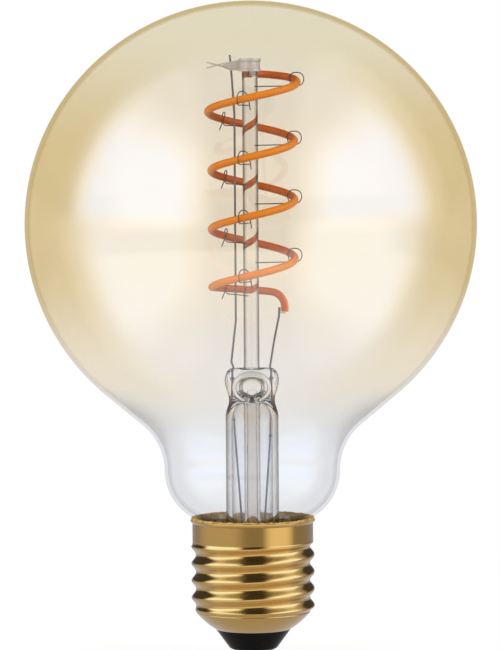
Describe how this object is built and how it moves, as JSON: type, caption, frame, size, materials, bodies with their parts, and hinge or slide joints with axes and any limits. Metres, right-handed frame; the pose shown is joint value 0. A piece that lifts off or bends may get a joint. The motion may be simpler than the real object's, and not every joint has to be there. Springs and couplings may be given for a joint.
{
  "type": "globe light bulb",
  "caption": "Large round globe bulb in amber-tinted clear glass, with a tall coiled filament on a glass stem and a brass screw cap with a black insulator.",
  "frame": {"origin": "middle of the centre contact's lower face, on the bulb's axis", "axes": "+Z along the axis from the centre contact to the globe's crown, +X to the viewer's right in the picture, +Y away from the viewer"},
  "size_m": [0.0954, 0.0954, 0.1388],
  "materials": {
    "amber_glass": "clear gloss",
    "clear_glass": "clear gloss",
    "nickel": "satin",
    "filament_coating": "satin",
    "lead_wire": "satin",
    "sealing_wire": "satin",
    "copper_wire": "satin",
    "support_wire": "satin",
    "cap_brass": "polished",
    "black_insulator": "gloss",
    "contact_metal": "satin",
    "cement": "matte",
    "circuit_board": "satin",
    "capacitor_sleeve": "satin",
    "chip_body": "matte",
    "resistor_coating": "satin",
    "tinned_wire": "satin",
    "wire_sleeve": "satin"
  },
  "bodies": {
    "root": {"bridge_rectifier": "chip_body", "cap_cement": "cement", "contact_nail": "contact_metal", "contact_plate": "cap_brass", "driver_board": "circuit_board", "driver_chip": "chip_body", "dumet_lead_long": "sealing_wire", "dumet_lead_short": "sealing_wire", "exhaust_tube": "clear_glass", "filament": "filament_coating", "filament_bottom_tab": "nickel", "filament_top_tab": "nickel", "fuse_resistor": "resistor_coating", "globe_glass": "amber_glass", "inner_lead_long": "lead_wire", "inner_lead_short": "lead_wire", "insulating_sleeve": "wire_sleeve", "insulator": "black_insulator", "live_wire": "tinned_wire", "neutral_wire": "tinned_wire", "outer_lead_long": "copper_wire", "outer_lead_short": "copper_wire", "rod_collar": "nickel", "screw_shell": "cap_brass", "smoothing_capacitor": "capacitor_sleeve", "stem": "clear_glass", "support_rod": "clear_glass", "support_wire_01": "support_wire", "support_wire_02": "support_wire", "support_wire_03": "support_wire", "support_wire_04": "support_wire", "support_wire_05": "support_wire", "support_wire_06": "support_wire", "support_wire_07": "support_wire", "support_wire_08": "support_wire", "support_wire_09": "support_wire", "support_wire_10": "support_wire", "support_wire_11": "support_wire", "support_wire_12": "support_wire"}
  },
  "joints": []
}
